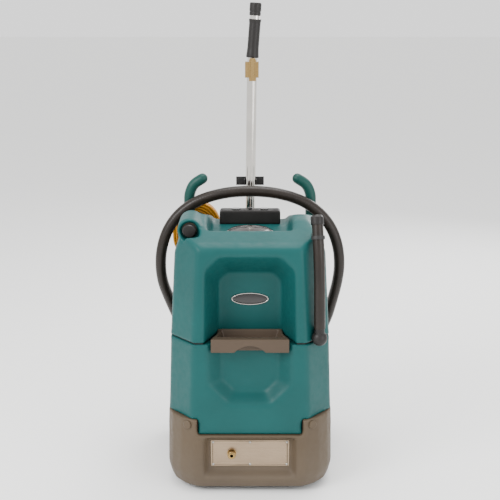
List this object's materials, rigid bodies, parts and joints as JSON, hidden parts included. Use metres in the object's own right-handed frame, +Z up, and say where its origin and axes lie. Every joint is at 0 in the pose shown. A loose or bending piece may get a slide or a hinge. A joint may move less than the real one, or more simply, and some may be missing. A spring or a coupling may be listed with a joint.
{
  "type": "spot extractor",
  "caption": "Upright wheeled spot extractor: stacked moulded tanks, wheeled base, looped vacuum hose, chrome floor wand held at the back.",
  "frame": {"origin": "on the floor, under the middle of the machine", "axes": "+X to the right seen from the front, +Y to the back, +Z up"},
  "size_m": [0.6236, 0.6019, 1.441],
  "materials": {
    "teal_plastic": "rotomoulded, fine orange-peel",
    "dark_teal_plastic": "moulded, satin",
    "taupe_plastic": "rotomoulded, fine texture",
    "grey_plastic": "moulded, satin",
    "black_plastic": "moulded, satin",
    "black_gloss": "moulded, glossy",
    "hose_black": "smooth vinyl skin",
    "tyre_rubber": "matte",
    "seal_rubber": "matte",
    "clear_lid": "smoked clear plastic",
    "chrome": "bright",
    "brushed_steel": "brushed",
    "zinc_steel": "zinc plated",
    "black_steel": "powder coat",
    "brass": "turned",
    "yellow_cord": "smooth vinyl",
    "motor_metal": "cast and pressed",
    "float_white": "moulded"
  },
  "bodies": {
    "root": {"base_shell": "taupe_plastic", "chassis_plate": "zinc_steel", "axle": "zinc_steel", "caster_mounts": "zinc_steel", "vacuum_motor": "motor_metal", "air_riser": "grey_plastic", "pump": "motor_metal", "float_cage": "float_white", "solution_tank": "teal_plastic", "tank_gasket": "seal_rubber", "recovery_tank": "teal_plastic", "lid_ring": "chrome", "access_panel": "brushed_steel", "panel_screws": "zinc_steel", "solution_coupler": "brass", "base_bolts": "taupe_plastic", "badge": "black_gloss", "port_collar": "grey_plastic", "drain_elbow": "black_plastic", "drain_hose": "hose_black", "drain_clip": "black_steel", "control_box": "black_plastic", "horns": "dark_teal_plastic", "wand_bracket": "black_steel", "wand_rest": "black_steel", "cord_peg": "black_plastic", "inlet_pipe": "black_plastic", "vacuum_hose": "hose_black", "hose_cuff": "black_plastic", "cord_gland": "seal_rubber", "supply_cord": "yellow_cord", "cord_coil": "yellow_cord", "cord_plug": "black_plastic"},
    "wheel_left": {"tyre_left": "tyre_rubber", "hub_left": "grey_plastic"},
    "wheel_right": {"tyre_right": "tyre_rubber", "hub_right": "grey_plastic"},
    "caster_left": {"caster_fork_left": "zinc_steel"},
    "caster_right": {"caster_fork_right": "zinc_steel"},
    "caster_roller_left": {"caster_wheel_left": "tyre_rubber"},
    "caster_roller_right": {"caster_wheel_right": "tyre_rubber"},
    "fan": {"vacuum_fan": "motor_metal"},
    "float": {"float_ball": "float_white"},
    "lid": {"recovery_lid": "clear_lid"},
    "drawer": {"fill_drawer": "grey_plastic", "fill_strainer": "grey_plastic"},
    "sleeve": {"coupler_sleeve": "brass"},
    "side_port_cap": {"port_cap": "black_plastic"},
    "drain_cap_body": {"drain_cap": "black_plastic"},
    "vacuum_switch": {"vacuum_rocker": "black_gloss"},
    "pump_switch": {"pump_rocker": "black_gloss"},
    "breaker": {"breaker_button": "black_gloss"},
    "wand": {"wand_tube": "chrome", "wand_head": "brushed_steel", "jet_line": "chrome", "jet_fittings": "brass", "wand_valve": "brass", "wand_grip": "black_plastic", "wand_collar": "black_plastic"},
    "trigger": {"wand_trigger": "brass"}
  },
  "joints": [
    {"name": "wheel_left_spin", "type": "hinge", "parent": "root", "child": "wheel_left", "pos_m": [-0.2385, 0.17, 0.105], "axis": [1, 0, 0], "continuous": true},
    {"name": "wheel_right_spin", "type": "hinge", "parent": "root", "child": "wheel_right", "pos_m": [0.2385, 0.17, 0.105], "axis": [1, 0, 0], "continuous": true},
    {"name": "caster_left_swivel", "type": "hinge", "parent": "root", "child": "caster_left", "pos_m": [-0.12, -0.17, 0.06], "axis": [0, 0, 1], "continuous": true},
    {"name": "caster_left_roll", "type": "hinge", "parent": "caster_left", "child": "caster_roller_left", "pos_m": [-0.12, -0.152, 0.025], "axis": [1, 0, 0], "continuous": true},
    {"name": "caster_right_swivel", "type": "hinge", "parent": "root", "child": "caster_right", "pos_m": [0.12, -0.17, 0.06], "axis": [0, 0, 1], "continuous": true},
    {"name": "caster_right_roll", "type": "hinge", "parent": "caster_right", "child": "caster_roller_right", "pos_m": [0.12, -0.152, 0.025], "axis": [1, 0, 0], "continuous": true},
    {"name": "fan_spin", "type": "hinge", "parent": "root", "child": "fan", "pos_m": [-0.07, 0.02, 0.14], "axis": [0, 0, 1], "continuous": true},
    {"name": "float_rise", "type": "slide", "parent": "root", "child": "float", "axis": [0, 0, 1], "range_m": [0, 0.048]},
    {"name": "lid_lift", "type": "slide", "parent": "root", "child": "lid", "axis": [0, 0, 1], "range_m": [0, 0.08]},
    {"name": "drawer_pull", "type": "slide", "parent": "root", "child": "drawer", "axis": [0, -1, 0], "range_m": [0, 0.06]},
    {"name": "sleeve_release", "type": "slide", "parent": "root", "child": "sleeve", "axis": [0, 1, 0], "range_m": [0, 0.005], "stiffness_N_per_m": 800},
    {"name": "port_cap_turn", "type": "hinge", "parent": "root", "child": "side_port_cap", "pos_m": [-0.18, -0.15, 0.783], "axis": [0, 1, 0], "range_deg": [0, 90]},
    {"name": "drain_cap_pull", "type": "slide", "parent": "root", "child": "drain_cap_body", "axis": [-0.0547, 0.2869, 0.9564], "range_m": [0, 0.05]},
    {"name": "vacuum_switch_rock", "type": "hinge", "parent": "root", "child": "vacuum_switch", "pos_m": [-0.045, 0.12, 0.793], "axis": [1, 0, 0], "range_deg": [0, 10]},
    {"name": "pump_switch_rock", "type": "hinge", "parent": "root", "child": "pump_switch", "pos_m": [0.045, 0.12, 0.793], "axis": [1, 0, 0], "range_deg": [0, 10]},
    {"name": "breaker_press", "type": "slide", "parent": "root", "child": "breaker", "axis": [0, 0, -1], "range_m": [0, 0.0019], "stiffness_N_per_m": 600, "springref_m": -0.001},
    {"name": "wand_lift", "type": "slide", "parent": "root", "child": "wand", "axis": [0, 0, 1], "range_m": [0, 0.09]},
    {"name": "trigger_squeeze", "type": "hinge", "parent": "wand", "child": "trigger", "pos_m": [0.008, 0.206, 1.261], "axis": [1, 0, 0], "range_deg": [0, 8], "stiffness_Nm_per_rad": 0.6, "springref_deg": -5.73}
  ]
}
